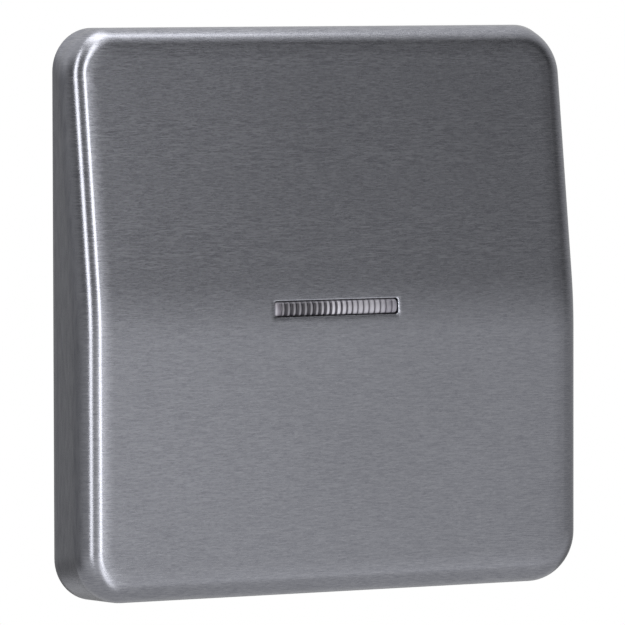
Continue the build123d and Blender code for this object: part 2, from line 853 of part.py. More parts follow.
# Lamp leads: bent strips from the holder to the rails
with BuildPart() as lamp_leads:
    for side in SIDES.values():
        with BuildSketch(Plane.XY):
            with BuildLine() as strip:
                FilletPolyline(
                    (side * lead_x, holder_depth),
                    (side * lead_x, lead_depth),
                    (side * rail_x, lead_depth),
                    radius=lead_bend,
                )
            trace(strip.edges(), lead_sheet)
        extrude(amount=lead_width / 2, both=True)
save(lamp_leads, "lamp_leads")
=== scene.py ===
import math

import bpy
import numpy as np
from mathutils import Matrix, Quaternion, Vector


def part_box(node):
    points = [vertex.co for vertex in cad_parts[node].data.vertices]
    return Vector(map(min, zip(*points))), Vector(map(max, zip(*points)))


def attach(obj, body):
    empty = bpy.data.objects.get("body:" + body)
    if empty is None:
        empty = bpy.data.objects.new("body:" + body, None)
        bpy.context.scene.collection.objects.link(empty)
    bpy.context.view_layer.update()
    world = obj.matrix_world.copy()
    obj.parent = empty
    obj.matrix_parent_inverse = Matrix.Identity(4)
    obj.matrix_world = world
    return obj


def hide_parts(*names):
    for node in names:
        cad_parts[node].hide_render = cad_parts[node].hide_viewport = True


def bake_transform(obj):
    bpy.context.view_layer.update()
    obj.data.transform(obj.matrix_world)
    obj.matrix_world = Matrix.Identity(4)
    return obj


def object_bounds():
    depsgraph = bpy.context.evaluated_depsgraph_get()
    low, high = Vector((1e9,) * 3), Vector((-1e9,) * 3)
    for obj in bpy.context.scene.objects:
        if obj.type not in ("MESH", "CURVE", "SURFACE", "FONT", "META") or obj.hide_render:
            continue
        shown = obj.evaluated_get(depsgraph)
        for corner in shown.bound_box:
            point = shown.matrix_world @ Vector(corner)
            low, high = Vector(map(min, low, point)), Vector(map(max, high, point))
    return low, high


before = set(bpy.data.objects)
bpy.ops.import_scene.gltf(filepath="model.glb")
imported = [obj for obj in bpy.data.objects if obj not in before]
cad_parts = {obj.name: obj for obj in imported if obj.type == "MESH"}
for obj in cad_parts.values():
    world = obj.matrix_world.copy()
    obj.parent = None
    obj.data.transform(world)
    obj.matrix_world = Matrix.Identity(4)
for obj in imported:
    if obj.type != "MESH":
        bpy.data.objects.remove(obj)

cad_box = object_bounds()

# Steel cap
# One stainless sheet, drawn to a shallow square tray with round edges and a slot punched for the lens.
# The upper half of the face leans back. It is brushed from side to side and bonded on a moulded carrier.
MM = 0.001
cap_low, cap_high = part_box("steel_cap")
cap_half = cap_high.x
cap_front = -cap_low.y
cap_rim = -cap_high.y
cap_lean = math.radians(7.8)
bend_height = 0.4 * MM
bend_radius = 50 * MM
sheet = 0.7 * MM
edge_radius = 2.8 * MM
front_corner = 6.3 * MM
rear_corner = 5.3 * MM
slot_half_width = 8.65 * MM
slot_half_height = 1.0 * MM
slot_corner = 0.35 * MM
slot_roll = 0.12 * MM
rim_round = 0.1 * MM
roll_width = 1.6 * MM
roll_slope = math.tan(math.radians(3.5))
SIDE_POINTS = 90
CORNER_POINTS = 16
FACE_RINGS = 80
EDGE_RINGS = 18
WALL_RINGS = 8


def outline(half_width, half_height, corner, middle=0.0):
    """Rounded rectangle: each side is a straight line and each corner a quarter circle about its own
    centre. Returns x, z and the outward direction (nx, nz) of every point, clockwise from the top left."""
    along = np.linspace(0, 1, SIDE_POINTS, endpoint=False)
    turn = np.linspace(0, math.pi / 2, CORNER_POINTS, endpoint=False)
    x, z, nx, nz = [], [], [], []
    for quarter in range(4):
        heading = math.pi / 2 - quarter * math.pi / 2
        out_x, out_z = math.cos(heading), math.sin(heading)
        on_x, on_z = out_z, -out_x
        reach = half_height if quarter % 2 == 0 else half_width
        run = (half_width if quarter % 2 == 0 else half_height) - corner
        x.append(out_x * reach + on_x * run * (2 * along - 1))
        z.append(out_z * reach + on_z * run * (2 * along - 1))
        nx.append(np.full(SIDE_POINTS, out_x))
        nz.append(np.full(SIDE_POINTS, out_z))
        bend_x = np.cos(heading - turn)
        bend_z = np.sin(heading - turn)
        x.append(out_x * (reach - corner) + on_x * run + corner * bend_x)
        z.append(out_z * (reach - corner) + on_z * run + corner * bend_z)
        nx.append(bend_x)
        nz.append(bend_z)
    x, z, nx, nz = (np.concatenate(v) for v in (x, z, nx, nz))
    return x, z + middle, nx, nz


def face_front(z, inset=0.0):
    """Distance of the face in front of the wall: flat below, a circular arc of the bend radius across
    the bend, and its tangent plane above, all moved inwards by inset. Also returns the slope in z."""
    radius = bend_radius - inset
    start = bend_height - bend_radius * math.tan(cap_lean / 2)
    rise = np.clip(z - start, 0, radius * math.sin(cap_lean))
    arc = np.sqrt(radius**2 - rise**2)
    beyond = np.maximum(z - start - radius * math.sin(cap_lean), 0)
    front = cap_front - bend_radius + arc - beyond * math.tan(cap_lean)
    return front, -rise / arc


def closed_grid(name, rings):
    """Mesh of a closed loop of closed rings: ring i and ring i + 1 are joined point by point by quads,
    and the last ring joins the first. rings has the shape (rings, points, 3)."""
    rows, columns = rings.shape[:2]
    first = np.arange(rows)[:, None] * columns + np.arange(columns)[None, :]
    right = np.roll(first, -1, axis=1)
    below = np.roll(first, -1, axis=0)
    across = np.roll(right, -1, axis=0)
    quads = np.stack([first, right, across, below], axis=-1).reshape(-1, 4)
    mesh = bpy.data.meshes.new(name)
    mesh.from_pydata(rings.reshape(-1, 3), [], quads)
    mesh.shade_smooth()
    piece = bpy.data.objects.new(name, mesh)
    bpy.context.scene.collection.objects.link(piece)
    return piece


def cap_rings():
    """Rings of the drawn sheet, from the slot's front edge over the face, round the edge, down the wall,
    round the rim and back inside. The edge is a quarter circle between face and wall whose first angle
    follows the slope of the face, which falls off by a parabola over the last roll_width before the edge.
    The wall's corner radius runs from the front one to the rear one."""
    x, z, nx, nz = outline(cap_half, cap_half, front_corner)
    rear_x, rear_z = outline(cap_half, cap_half, rear_corner)[:2]
    slot_x, slot_z, slot_nx, slot_nz = outline(
        slot_half_width, slot_half_height, slot_corner, bend_height
    )
    centre_x, centre_z = x - nx * edge_radius, z - nz * edge_radius
    front, slope = face_front(centre_z)
    fall = -slope * nz
    first_angle = np.arctan(fall + roll_slope)
    along = np.sqrt(1 + (slope * nx) ** 2)
    rim_front = front - fall * edge_radius * np.sin(first_angle) - roll_slope * roll_width / 2
    centre = rim_front - edge_radius * along * np.cos(first_angle)

    def ring(px, front_of, pz):
        return np.stack([px, -front_of, pz], axis=-1)

    def edge(radius, share):
        angle = first_angle + share * (math.pi / 2 - first_angle)
        out = radius * np.sin(angle)
        return ring(
            centre_x + nx * out, centre + radius * along * np.cos(angle), centre_z + nz * out
        )

    def face(inset, roll, share):
        rim = edge(edge_radius - inset, 0.0)
        start_x, start_z = slot_x + slot_nx * roll, slot_z + slot_nz * roll
        px = start_x + (rim[:, 0] - start_x) * share
        pz = start_z + (rim[:, 2] - start_z) * share
        to_rim = (rim[:, 0] - px) * nx + (rim[:, 2] - pz) * nz
        into_roll = np.maximum(roll_width - to_rim, 0)
        rolled = face_front(pz, inset)[0] - roll_slope * into_roll**2 / (2 * roll_width)
        return ring(px, rolled, pz)

    rings = []
    for angle in np.linspace(math.pi / 2, 0, 5)[:-1]:
        out = slot_roll * (1 - math.sin(angle))
        depth = slot_roll * (1 - math.cos(angle))
        px, pz = slot_x + slot_nx * out, slot_z + slot_nz * out
        rings.append(ring(px, face_front(slot_z)[0] - depth, pz))
    for share in 1 - np.linspace(1, 0, FACE_RINGS, endpoint=False) ** 1.5:
        rings.append(face(0.0, slot_roll, share))
    for share in np.linspace(0, 1, EDGE_RINGS, endpoint=False):
        rings.append(edge(edge_radius, share))
    wall_end = cap_rim + rim_round
    for share in np.linspace(0, 1, WALL_RINGS):
        px, pz = x + (rear_x - x) * share, z + (rear_z - z) * share
        rings.append(ring(px, centre + (wall_end - centre) * share, pz))
    for painted_bands_and_end_light, angle in ((0, 0.5), (0, 1.0), (1, 1.0), (1, 0.5), (1, 0.0)):
        lift = rim_round * (1 - math.sin(angle * math.pi / 2))
        step = rim_round * (1 - math.cos(angle * math.pi / 2))
        inset = sheet - step if painted_bands_and_end_light else step
        rings.append(ring(rear_x - nx * inset, np.full_like(x, cap_rim + lift), rear_z - nz * inset))
    for share in np.linspace(1, 0, 7):
        rings.append(edge(edge_radius - sheet, share))
    for share in np.linspace(1, 0, 10)[1:]:
        rings.append(face(sheet, 0.0, share))
    rings.append(ring(slot_x, face_front(slot_z)[0] - (slot_roll + sheet) / 2, slot_z))
    return np.array(rings)


steel_cap = closed_grid("steel_cap_drawn", cap_rings())


def linear(code):
    """Linear RGBA of an sRGB hex colour, by the sRGB curve."""
    parts = [int(code[i:i + 2], 16) / 255 for i in (1, 3, 5)]
    return [c / 12.92 if c <= 0.04045 else ((c + 0.055) / 1.055) ** 2.4 for c in parts] + [1.0]


def add_node(material, kind, settings=None, inputs=None):
    """Add one node with its settings. An input is a plain value, or the socket that it is linked to."""
    node = material.node_tree.nodes.new(kind)
    for name, value in (settings or {}).items():
        setattr(node, name, value)
    for name, value in (inputs or {}).items():
        if isinstance(value, bpy.types.NodeSocket):
            material.node_tree.links.new(value, node.inputs[name])
        else:
            node.inputs[name].default_value = value
    return node


def new_material(name):
    """An empty node material, its output node and an Object coordinate socket."""
    material = bpy.data.materials.new(name)
    material.use_nodes = True
    material.node_tree.nodes.clear()
    output = add_node(material, "ShaderNodeOutputMaterial")
    place = add_node(material, "ShaderNodeTexCoord").outputs["Object"]
    return material, output, place


# Brushed stainless steel: grey metal with crisp horizontal dashes 0.5 to 2 mm long and about 0.1 mm high,
# which spread a reflection upwards and downwards only. The drawn walls are duller, and darker by painted
# shade.
# The slot's rolled edge is brighter by a painted highlight, and darker along the bottom by painted shade.
brushed_steel, output, place = new_material("brushed_stainless_steel")
long_dashes = add_node(brushed_steel, "ShaderNodeTexNoise", inputs={
    "Vector": add_node(
        brushed_steel, "ShaderNodeMapping", inputs={"Vector": place, "Scale": (1.0, 1.0, 20.0)}
    ).outputs["Vector"],
    "Scale": 1 / (1.6 * MM), "Detail": 1.0, "Roughness": 0.5,
}).outputs["Fac"]
short_dashes = add_node(brushed_steel, "ShaderNodeTexNoise", inputs={
    "Vector": add_node(
        brushed_steel, "ShaderNodeMapping", inputs={"Vector": place, "Scale": (1.0, 1.0, 7.0)}
    ).outputs["Vector"],
    "Scale": 1 / (0.55 * MM), "Detail": 1.0, "Roughness": 0.5,
}).outputs["Fac"]
dashes = add_node(
    brushed_steel, "ShaderNodeMix", {"data_type": "FLOAT"}, {0: 0.45, 2: long_dashes, 3: short_dashes}
).outputs[0]
cloud = add_node(
    brushed_steel, "ShaderNodeTexNoise",
    inputs={"Vector": place, "Scale": 1 / (18 * MM), "Detail": 2.0, "Roughness": 0.5},
).outputs["Fac"]
drawn_marks = add_node(brushed_steel, "ShaderNodeTexNoise", inputs={
    "Vector": add_node(
        brushed_steel, "ShaderNodeMapping", inputs={"Vector": place, "Scale": (1.0, 1.0, 0.18)}
    ).outputs["Vector"],
    "Scale": 1 / (0.5 * MM), "Detail": 1.0, "Roughness": 0.5,
}).outputs["Fac"]
faint_marks = add_node(brushed_steel, "ShaderNodeMapRange", inputs={
    "Value": drawn_marks, "To Min": 0.28, "To Max": 0.72,
}).outputs["Result"]
place_x = add_node(
    brushed_steel, "ShaderNodeSeparateXYZ", inputs={"Vector": place}
).outputs["X"]
side_reach = add_node(
    brushed_steel, "ShaderNodeMath", {"operation": "ABSOLUTE"}, {0: place_x}
).outputs[0]
on_wall = add_node(
    brushed_steel, "ShaderNodeMapRange", {"interpolation_type": "SMOOTHSTEP"},
    {"Value": side_reach, "From Min": 34.2 * MM, "From Max": 34.95 * MM},
).outputs["Result"]
grain = add_node(
    brushed_steel, "ShaderNodeMix", {"data_type": "FLOAT"}, {0: on_wall, 2: dashes, 3: faint_marks}
).outputs[0]
steel_tone = add_node(brushed_steel, "ShaderNodeValToRGB", inputs={"Fac": grain})
steel_tone.color_ramp.elements[0].position = 0.36
steel_tone.color_ramp.elements[0].color = linear("#7a7b82")
steel_tone.color_ramp.elements[1].position = 0.64
steel_tone.color_ramp.elements[1].color = linear("#909197")
# Painted shade: the side walls' steel colour is multiplied darker by position.
painted_wall_shade = linear("#dcdcdc")
steel_with_wall_shade = add_node(
    brushed_steel, "ShaderNodeMix", {"data_type": "RGBA", "blend_type": "MULTIPLY"},
    {0: on_wall, 6: steel_tone.outputs["Color"], 7: painted_wall_shade},
).outputs[2]
place_z = add_node(
    brushed_steel, "ShaderNodeSeparateXYZ", inputs={"Vector": place}
).outputs["Z"]
slot_reach = add_node(brushed_steel, "ShaderNodeMath", {"operation": "ABSOLUTE"}, {
    0: add_node(
        brushed_steel, "ShaderNodeMath", {"operation": "SUBTRACT"}, {0: place_z, 1: bend_height}
    ).outputs[0],
}).outputs[0]
off_slot = add_node(brushed_steel, "ShaderNodeMath", {"operation": "MAXIMUM"}, {
    0: add_node(brushed_steel, "ShaderNodeMath", {"operation": "SUBTRACT"}, {
        0: side_reach, 1: slot_half_width,
    }).outputs[0],
    1: add_node(brushed_steel, "ShaderNodeMath", {"operation": "SUBTRACT"}, {
        0: slot_reach, 1: slot_half_height,
    }).outputs[0],
}).outputs[0]
# Painted highlight on the slot's rolled edge, up to 1.6 times brighter, with painted shade along its bottom
# at 0.75 times.
edge_highlight_and_shade_tone = add_node(brushed_steel, "ShaderNodeMapRange", inputs={
    "Value": place_z, "From Min": bend_height - 0.9 * MM, "From Max": bend_height - 0.7 * MM,
    "To Min": 0.75, "To Max": 1.6,
}).outputs["Result"]
painted_slot_edge_highlight_and_shade = add_node(brushed_steel, "ShaderNodeMapRange", inputs={
    "Value": off_slot, "From Min": slot_roll, "From Max": 1.3 * slot_roll, "To Min": edge_highlight_and_shade_tone,
    "To Max": 1.0,
}).outputs["Result"]
mottling = add_node(
    brushed_steel, "ShaderNodeMapRange",
    inputs={"Value": cloud, "From Min": 0.3, "From Max": 0.7, "To Min": 0.97, "To Max": 1.03},
).outputs["Result"]
steel_colour = add_node(brushed_steel, "ShaderNodeVectorMath", {"operation": "SCALE"}, {
    0: steel_with_wall_shade,
    "Scale": add_node(
        brushed_steel, "ShaderNodeMath", {"operation": "MULTIPLY"}, {0: mottling, 1: painted_slot_edge_highlight_and_shade}
    ).outputs[0],
}).outputs[0]
steel_roughness = add_node(
    brushed_steel, "ShaderNodeMapRange",
    inputs={"Value": grain, "From Min": 0.3, "From Max": 0.7, "To Min": 0.25, "To Max": 0.3},
).outputs["Result"]
upwards = add_node(
    brushed_steel, "ShaderNodeCombineXYZ", inputs={"Y": 0.05, "Z": 1.0}
).outputs["Vector"]
grooves = add_node(
    brushed_steel, "ShaderNodeBump",
    inputs={"Height": grain, "Strength": 0.1, "Distance": 0.01 * MM},
).outputs["Normal"]
steel_shader = add_node(brushed_steel, "ShaderNodeBsdfPrincipled", inputs={
    "Base Color": steel_colour, "Metallic": 1.0, "Roughness": steel_roughness, "Anisotropic": 0.6,
    "Tangent": upwards, "Normal": grooves,
})
brushed_steel.node_tree.links.new(steel_shader.outputs[0], output.inputs["Surface"])
steel_cap.data.materials.append(brushed_steel)
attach(steel_cap, "button")
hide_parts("steel_cap")

# Indicator lens
# A clear polycarbonate bar with upright ribs on its front, moulded with a flange that holds it behind the
# sheet and a light guide that reaches back to the lamp. A narrow dark gap is left round it in the slot.
lens_half_length = 8.5 * MM
lens_half_height = 0.87 * MM
lens_front = 11.42 * MM
lens_back = 10.4 * MM
lens_corner = 0.3 * MM
lens_edge = 0.12 * MM
lens_crown = 0.22 * MM
rib_pitch = 0.79 * MM
rib_radius = 0.45 * MM
rib_zone = 7.6 * MM
rib_shift = 0.35 * MM
flange_half_length = 9.7 * MM
flange_half_height = 2.05 * MM
flange_front = 10.55 * MM
flange_back = 9.55 * MM
guide_half_length = 6.0 * MM
guide_half_height = 1.3 * MM
guide_end_half_length = 3.0 * MM
guide_back = 6.95 * MM
slot_gap_depth = 10.65 * MM
LENS_STATIONS = 441
LENS_POINTS = 17


def capped_grid(name, rings, smooth):
    """Mesh of a tube: ring i and ring i + 1 are joined point by point by quads, and one flat polygon
    closes each end. rings has the shape (rings, points, 3)."""
    rows, columns = rings.shape[:2]
    first = np.arange(rows - 1)[:, None] * columns + np.arange(columns)[None, :]
    right = np.roll(first, -1, axis=1)
    quads = np.stack([first, right, right + columns, first + columns], axis=-1).reshape(-1, 4)
    ends = [list(range(columns))[::-1], list(range((rows - 1) * columns, rows * columns))]
    mesh = bpy.data.meshes.new(name)
    mesh.from_pydata(rings.reshape(-1, 3), [], quads.tolist() + ends)
    if smooth:
        mesh.shade_smooth()
    piece = bpy.data.objects.new(name, mesh)
    bpy.context.scene.collection.objects.link(piece)
    return piece


def lens_rings():
    """Loops of the bar's upright cross-section, one for each station from right to left. The front falls by
    the crown times the square of the height, with a quarter circle at the top and the bottom edge, and by
    the depth of the rib arcs. Near both ends the half height follows the corner's quarter circle."""
    x = np.linspace(lens_half_length, -lens_half_length, LENS_STATIONS)
    beyond = np.clip(np.abs(x) - (lens_half_length - lens_corner), 0, lens_corner)
    half = lens_half_height - lens_corner + np.sqrt(lens_corner**2 - beyond**2)
    across = (x - rib_shift + rib_pitch / 2) % rib_pitch - rib_pitch / 2
    depth = rib_radius - np.sqrt(rib_radius**2 - across**2)
    depth = np.where(np.abs(x) < rib_zone, depth, 0.4 * depth)
    turn = np.linspace(-1, 1, LENS_POINTS)[None, :]
    z = half[:, None] * turn
    to_edge = np.maximum(np.abs(z) - (half[:, None] - lens_edge), 0)
    rounding = lens_edge - np.sqrt(np.maximum(lens_edge**2 - to_edge**2, 0))
    crowned = lens_crown * (z / lens_half_height) ** 2
    front = lens_front - depth[:, None] - crowned - rounding
    stations = np.repeat(x[:, None], LENS_POINTS, axis=1)
    face = np.stack([stations, -front, z], axis=-1)
    back = np.stack([stations[:, :2], np.full((LENS_STATIONS, 2), -lens_back),
                     half[:, None] * np.array([[1.0, -1.0]])], axis=-1)
    loops = np.concatenate([face, back], axis=1)
    loops[:, :, 2] += bend_height
    return loops


def lens_foot_rings():
    """Rings of the flange and the light guide behind it: rounded rectangles one behind the other."""
    steps = [
        (flange_half_length, flange_half_height, 0.8 * MM, flange_front),
        (flange_half_length, flange_half_height, 0.8 * MM, flange_back),
        (guide_half_length, guide_half_height, 0.3 * MM, flange_back),
        (guide_end_half_length, guide_half_height, 0.3 * MM, guide_back),
    ]
    rings = []
    for half_length, half_height, corner, front in steps:
        x, z = outline(half_length, half_height, corner, bend_height)[:2]
        rings.append(np.stack([x, np.full_like(x, -front), z], axis=-1))
    return np.array(rings)


lens_bar = capped_grid("lens_bar", lens_rings(), smooth=True)
lens_foot = capped_grid("lens_foot", lens_foot_rings(), smooth=False)

# Clear ribbed polycarbonate: smooth and glossy. Each rib shows an upright band of painted light, narrow on
# the left of the bar and wide on the right, beside the painted dark of the switch's inside. The bar is
# opaque here: its bands, the painted highlights on its top and left edges, its painted lighter bottom and
# the painted shade deep in the slot are colours set by position.
clear_ribs, output, place = new_material("clear_ribbed_polycarbonate")
along_lens, depth_in_lens, height_in_lens = add_node(
    clear_ribs, "ShaderNodeSeparateXYZ", inputs={"Vector": place}
).outputs
rib_count = add_node(
    clear_ribs, "ShaderNodeMath", {"operation": "MULTIPLY_ADD"},
    {0: along_lens, 1: 1 / rib_pitch, 2: 0.5 - rib_shift / rib_pitch},
).outputs[0]
phase = add_node(clear_ribs, "ShaderNodeMath", {"operation": "FRACT"}, {0: rib_count}).outputs[0]
band_start = add_node(clear_ribs, "ShaderNodeMapRange", inputs={
    "Value": along_lens, "From Min": -2.6 * MM, "From Max": 3.0 * MM, "To Min": 0.48, "To Max": 0.06,
}).outputs["Result"]
band_end = add_node(clear_ribs, "ShaderNodeMapRange", inputs={
    "Value": along_lens, "From Min": -2.6 * MM, "From Max": 3.0 * MM, "To Min": 1.02, "To Max": 0.8,
}).outputs["Result"]
from_start = add_node(
    clear_ribs, "ShaderNodeMath", {"operation": "SUBTRACT"}, {0: phase, 1: band_start}
).outputs[0]
band_rise = add_node(clear_ribs, "ShaderNodeMapRange", {"interpolation_type": "SMOOTHSTEP"}, {
    "Value": from_start, "From Min": -0.04, "From Max": 0.1,
}).outputs["Result"]
band_fall = add_node(clear_ribs, "ShaderNodeMapRange", {"interpolation_type": "SMOOTHSTEP"}, {
    "Value": add_node(
        clear_ribs, "ShaderNodeMath", {"operation": "SUBTRACT"}, {0: phase, 1: band_end}
    ).outputs[0],
    "From Min": -0.08, "From Max": 0.06, "To Min": 1.0, "To Max": 0.0,
}).outputs["Result"]
band = add_node(
    clear_ribs, "ShaderNodeMath", {"operation": "MULTIPLY"}, {0: band_rise, 1: band_fall}
).outputs[0]
# Painted light: the light that each rib gathers from inside the switch, as colours along the bar.
painted_band_light = add_node(clear_ribs, "ShaderNodeValToRGB", inputs={"Fac": add_node(
    clear_ribs, "ShaderNodeMapRange",
    inputs={"Value": along_lens, "From Min": -lens_half_length, "From Max": lens_half_length},
).outputs["Result"]})
PAINTED_BAND_LIGHTS = {0.1: "#8e8c92", 0.34: "#98969c", 0.46: "#cac8d0", 0.52: "#cccad2", 0.6: "#b4b2ba",
             0.86: "#b2b0b8", 0.94: "#8e8b94"}
painted_band_light.color_ramp.elements.remove(painted_band_light.color_ramp.elements[1])
painted_band_light.color_ramp.elements[0].position = 0.0
painted_band_light.color_ramp.elements[0].color = linear("#8e8c92")
for share, code in PAINTED_BAND_LIGHTS.items():
    painted_band_light.color_ramp.elements.new(share).color = linear(code)
# Painted shade: the dark inside of the switch between the light bands.
painted_band_shade = add_node(clear_ribs, "ShaderNodeMix", {"data_type": "RGBA"}, {
    0: add_node(clear_ribs, "ShaderNodeMapRange", inputs={
        "Value": along_lens, "From Min": -3 * MM, "From Max": 4 * MM,
    }).outputs["Result"],
    6: linear("#39373d"), 7: linear("#625f67"),
}).outputs[2]
painted_rib_bands = add_node(
    clear_ribs, "ShaderNodeMix", {"data_type": "RGBA"}, {0: band, 6: painted_band_shade, 7: painted_band_light.outputs["Color"]}
).outputs[2]
# Painted light: a plain light grey over the last stretch at the bar's left end.
at_end = add_node(clear_ribs, "ShaderNodeMapRange", {"interpolation_type": "SMOOTHSTEP"}, {
    "Value": along_lens, "From Min": -8.0 * MM, "From Max": -7.55 * MM, "To Min": 0.8, "To Max": 0.0,
}).outputs["Result"]
painted_bands_and_end_light = add_node(
    clear_ribs, "ShaderNodeMix", {"data_type": "RGBA"}, {0: at_end, 6: painted_rib_bands, 7: linear("#85808a")}
).outputs[2]
# Painted highlights along the bar's top edge and at its left end.
painted_top_highlight = add_node(clear_ribs, "ShaderNodeMapRange", inputs={
    "Value": height_in_lens, "From Min": bend_height + 0.6 * MM, "From Max": bend_height + 0.8 * MM,
    "To Max": 0.45,
}).outputs["Result"]
painted_left_highlight = add_node(clear_ribs, "ShaderNodeMapRange", inputs={
    "Value": along_lens, "From Min": -lens_half_length + 0.15 * MM,
    "From Max": -lens_half_length + 0.4 * MM, "To Min": 0.7, "To Max": 0.0,
}).outputs["Result"]
painted_edge_highlights = add_node(
    clear_ribs, "ShaderNodeMath", {"operation": "MAXIMUM"}, {0: painted_top_highlight, 1: painted_left_highlight}
).outputs[0]
with_painted_edge_highlights = add_node(
    clear_ribs, "ShaderNodeMix", {"data_type": "RGBA"}, {0: painted_edge_highlights, 6: painted_bands_and_end_light, 7: linear("#cccad2")}
).outputs[2]
# Painted light: the bar's colour is made up to 1.45 times lighter towards its bottom.
painted_light_below = add_node(clear_ribs, "ShaderNodeVectorMath", {"operation": "SCALE"}, {
    0: with_painted_edge_highlights,
    "Scale": add_node(clear_ribs, "ShaderNodeMapRange", inputs={
        "Value": height_in_lens, "From Min": bend_height - 0.85 * MM, "From Max": bend_height + 0.35 * MM,
        "To Min": 1.45, "To Max": 0.92,
    }).outputs["Result"],
}).outputs[0]
# Painted shade: near-black where the bar reaches back into the slot's gap.
from_gap = add_node(clear_ribs, "ShaderNodeMath", {"operation": "ABSOLUTE"}, {
    0: add_node(
        clear_ribs, "ShaderNodeMath", {"operation": "ADD"}, {0: depth_in_lens, 1: slot_gap_depth}
    ).outputs[0],
}).outputs[0]
painted_gap_shade = add_node(clear_ribs, "ShaderNodeMapRange", inputs={
    "Value": from_gap, "From Min": 0.15 * MM, "From Max": 0.3 * MM, "To Min": 0.85, "To Max": 0.0,
}).outputs["Result"]
lens_colour = add_node(
    clear_ribs, "ShaderNodeMix", {"data_type": "RGBA"},
    {0: painted_gap_shade, 6: painted_light_below, 7: linear("#161519")},
).outputs[2]
lens_shader = add_node(clear_ribs, "ShaderNodeBsdfPrincipled", inputs={
    "Base Color": lens_colour, "Roughness": 0.12, "IOR": 1.58, "Specular IOR Level": 0.2,
})
clear_ribs.node_tree.links.new(lens_shader.outputs[0], output.inputs["Surface"])
for piece in (lens_bar, lens_foot):
    piece.data.materials.append(clear_ribs)
    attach(piece, "button")
    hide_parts("indicator_lens")

# Carrier, rocker and plunger
# Three injection mouldings in one black plastic: the frame that is bonded into the cap, the yoke that it
# clips on, which turns on two pins, and the pin that passes the movement on to the contacts.
# Black PC/ABS with a fine spark-eroded texture: dark grey where light grazes it, with soft wide highlights.
black_moulding, output, place = new_material("black_moulded_pc_abs")
eroded = add_node(
    black_moulding, "ShaderNodeTexNoise",
    inputs={"Vector": place, "Scale": 1 / (0.25 * MM), "Detail": 2.0, "Roughness": 0.6},
).outputs["Fac"]
flow = add_node(
    black_moulding, "ShaderNodeTexNoise",
    inputs={"Vector": place, "Scale": 1 / (7 * MM), "Detail": 2.0, "Roughness": 0.5},
).outputs["Fac"]
black_shader = add_node(black_moulding, "ShaderNodeBsdfPrincipled", inputs={
    "Base Color": add_node(black_moulding, "ShaderNodeMix", {"data_type": "RGBA"}, {
        0: flow, 6: linear("#29292b"), 7: linear("#343436"),
    }).outputs[2],
    "Roughness": add_node(black_moulding, "ShaderNodeMapRange", inputs={
        "Value": eroded, "From Min": 0.3, "From Max": 0.7, "To Min": 0.45, "To Max": 0.58,
    }).outputs["Result"],
    "IOR": 1.55,
    "Normal": add_node(black_moulding, "ShaderNodeBump", inputs={
        "Height": eroded, "Strength": 0.3, "Distance": 0.02 * MM,
    }).outputs["Normal"],
})
black_moulding.node_tree.links.new(black_shader.outputs[0], output.inputs["Surface"])


def dress(material, *names):
    """Give these CAD nodes this material alone."""
    for name in names:
        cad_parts[name].data.materials.clear()
        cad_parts[name].data.materials.append(material)


dress(black_moulding, "cap_carrier", "rocker", "plunger")

# Support ring and housing screws
# A steel plate, punched and then zinc-plated, that the wall box's screws hold, and the four pan-head
# screws that hold the insert on it from the front.
# Bright zinc on cold-rolled steel: bluish silver with faint crystal clouds and fine rolling lines.
zinc_plate, output, place = new_material("zinc_plated_steel")
crystals = add_node(
    zinc_plate, "ShaderNodeTexVoronoi", {"feature": "F1"},
    {"Vector": place, "Scale": 1 / (1.2 * MM)},
).outputs["Color"]
rolling = add_node(zinc_plate, "ShaderNodeTexNoise", inputs={
    "Vector": add_node(
        zinc_plate, "ShaderNodeMapping", inputs={"Vector": place, "Scale": (12.0, 1.0, 1.0)}
    ).outputs["Vector"],
    "Scale": 1 / (2.5 * MM), "Detail": 2.0, "Roughness": 0.5,
}).outputs["Fac"]
zinc_shader = add_node(zinc_plate, "ShaderNodeBsdfPrincipled", inputs={
    "Base Color": add_node(zinc_plate, "ShaderNodeMix", {"data_type": "RGBA"}, {
        0: add_node(
            zinc_plate, "ShaderNodeSeparateXYZ", inputs={"Vector": crystals}
        ).outputs["X"],
        6: linear("#b3b8bd"), 7: linear("#babfc3"),
    }).outputs[2],
    "Metallic": 1.0,
    "Roughness": add_node(zinc_plate, "ShaderNodeMapRange", inputs={
        "Value": rolling, "From Min": 0.3, "From Max": 0.7, "To Min": 0.3, "To Max": 0.4,
    }).outputs["Result"],
    "Normal": add_node(zinc_plate, "ShaderNodeBump", inputs={
        "Height": rolling, "Strength": 0.15, "Distance": 0.01 * MM,
    }).outputs["Normal"],
})
zinc_plate.node_tree.links.new(zinc_shader.outputs[0], output.inputs["Surface"])
dress(zinc_plate, "support_ring", "housing_screws")

# Insert cover
# The moulding under the rocker, with the two pivot ears, the spring's well and the plunger's guide.
# Light grey polyamide with a fine matt texture and faint clouds from its glass fibres.
grey_moulding, output, place = new_material("light_grey_moulded_polyamide")
fibres = add_node(
    grey_moulding, "ShaderNodeTexNoise",
    inputs={"Vector": place, "Scale": 1 / (1.5 * MM), "Detail": 3.0, "Roughness": 0.6},
).outputs["Fac"]
grey_shader = add_node(grey_moulding, "ShaderNodeBsdfPrincipled", inputs={
    "Base Color": add_node(grey_moulding, "ShaderNodeMix", {"data_type": "RGBA"}, {
        0: fibres, 6: linear("#9d9e9c"), 7: linear("#aaaba8"),
    }).outputs[2],
    "Roughness": 0.5,
    "IOR": 1.53,
    "Normal": add_node(grey_moulding, "ShaderNodeBump", inputs={
        "Height": fibres, "Strength": 0.15, "Distance": 0.03 * MM,
    }).outputs["Normal"],
})
grey_moulding.node_tree.links.new(grey_shader.outputs[0], output.inputs["Surface"])
dress(grey_moulding, "insert_cover")

